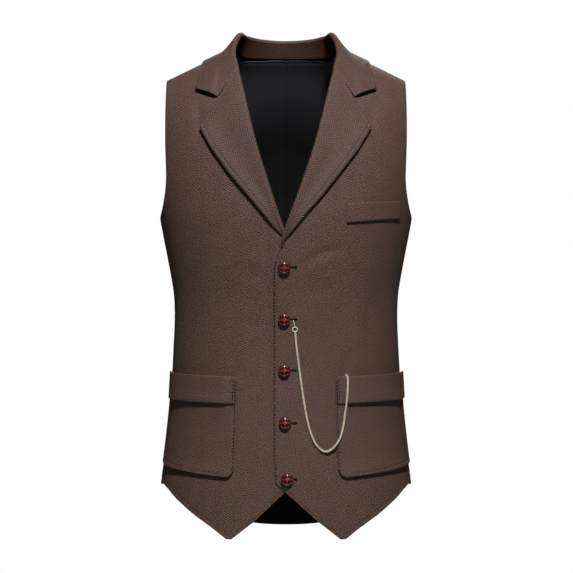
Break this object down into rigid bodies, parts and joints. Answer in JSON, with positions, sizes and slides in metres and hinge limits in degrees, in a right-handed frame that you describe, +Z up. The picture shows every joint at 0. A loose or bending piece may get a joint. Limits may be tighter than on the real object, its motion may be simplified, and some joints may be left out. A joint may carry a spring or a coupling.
{
  "type": "suit waistcoat",
  "caption": "Herringbone wool waistcoat with notched lapels, a turned-down collar, cuffed patch pockets, a breast welt, leather buttons, a satin back and a pocket chain.",
  "frame": {"origin": "midway between the wearer's shoulders, level with the neck ends of the shoulder seams, where the shoulders hold the garment", "axes": "+Z up, +X towards the wearer's left, -Y towards the front of the garment, +Y towards its back"},
  "size_m": [0.346, 0.2471, 0.6907],
  "materials": {
    "wool_herringbone": "brown and taupe herringbone wool, matt, about 2.5 mm with its canvas",
    "satin": "black satin lining cloth, soft sheen",
    "button_leather": "plaited cognac leather, polished",
    "chain_brass": "pale polished brass"
  },
  "bodies": {
    "root": {"front_left": "wool_herringbone", "front_right": "wool_herringbone", "back_left": "satin", "back_right": "satin", "back_lining_left": "satin", "back_lining_right": "satin", "lapel_left": "wool_herringbone", "lapel_right": "wool_herringbone", "collar_stand": "wool_herringbone", "collar_leaf": "wool_herringbone", "pocket_left": "wool_herringbone", "pocket_right": "wool_herringbone", "pocket_cuff_left": "wool_herringbone", "pocket_cuff_right": "wool_herringbone", "breast_welt": "wool_herringbone", "button_1": "button_leather", "button_2": "button_leather", "button_3": "button_leather", "button_4": "button_leather", "button_5": "button_leather", "chain_ring": "chain_brass", "chain_hook": "chain_brass", "chain": "chain_brass"}
  },
  "joints": []
}
